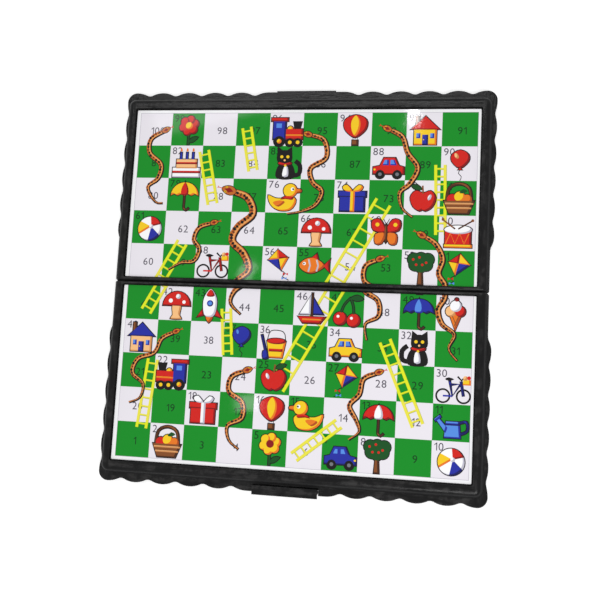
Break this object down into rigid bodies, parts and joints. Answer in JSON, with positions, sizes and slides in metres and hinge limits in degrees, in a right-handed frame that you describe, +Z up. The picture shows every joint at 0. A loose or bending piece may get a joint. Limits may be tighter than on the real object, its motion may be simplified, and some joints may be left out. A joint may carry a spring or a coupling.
{
  "type": "folding snakes and ladders board",
  "caption": "Folding snakes and ladders board: two hinged shallow case halves with a scalloped flange, printed magnetic playing squares on top, and a front clasp.",
  "frame": {"origin": "middle of the hinge line, on the plane that the rubber feet stand on", "axes": "+X to the right across the board, +Y to the rear half, +Z up out of the printed squares"},
  "size_m": [0.2514, 0.2676, 0.0126],
  "materials": {
    "case_plastic": "black, semi-gloss, slightly wavy moulded surface",
    "print_sheet": "glossy printed sheet in white, green, yellow, orange and brown",
    "plate_steel": "thin tinned sheet",
    "pin_steel": "drawn wire",
    "foot_rubber": "matt black",
    "tray_plastic": "dark grey, lightly textured",
    "red_plastic": "smooth red",
    "yellow_plastic": "smooth yellow",
    "blue_plastic": "smooth blue",
    "green_plastic": "smooth green",
    "magnet": "plain grey disc magnet",
    "die_plastic": "ivory white"
  },
  "bodies": {
    "rear_half": {"rear_case_shell": "case_plastic", "rear_steel_plate": "plate_steel", "rear_board_print": "print_sheet", "rear_rubber_feet": "foot_rubber", "left_hinge_pin": "pin_steel", "right_hinge_pin": "pin_steel", "storage_tray": "tray_plastic", "red_counter": "red_plastic", "yellow_counter": "yellow_plastic", "blue_counter": "blue_plastic", "green_counter": "green_plastic", "red_counter_magnet": "magnet", "yellow_counter_magnet": "magnet", "blue_counter_magnet": "magnet", "green_counter_magnet": "magnet", "playing_die": "die_plastic"},
    "front_half": {"front_case_shell": "case_plastic", "front_steel_plate": "plate_steel", "front_board_print": "print_sheet", "front_rubber_feet": "foot_rubber", "latch_pin": "pin_steel"},
    "latch": {"latch_clasp": "case_plastic"}
  },
  "joints": [
    {"name": "case_fold", "type": "hinge", "parent": "rear_half", "child": "front_half", "pos_m": [0, 0, 0.0026], "axis": [1, 0, 0], "range_deg": [0, 180]},
    {"name": "latch_swing", "type": "hinge", "parent": "front_half", "child": "latch", "pos_m": [0, -0.1304, 0.00385], "axis": [1, 0, 0], "range_deg": [0, 90]}
  ]
}
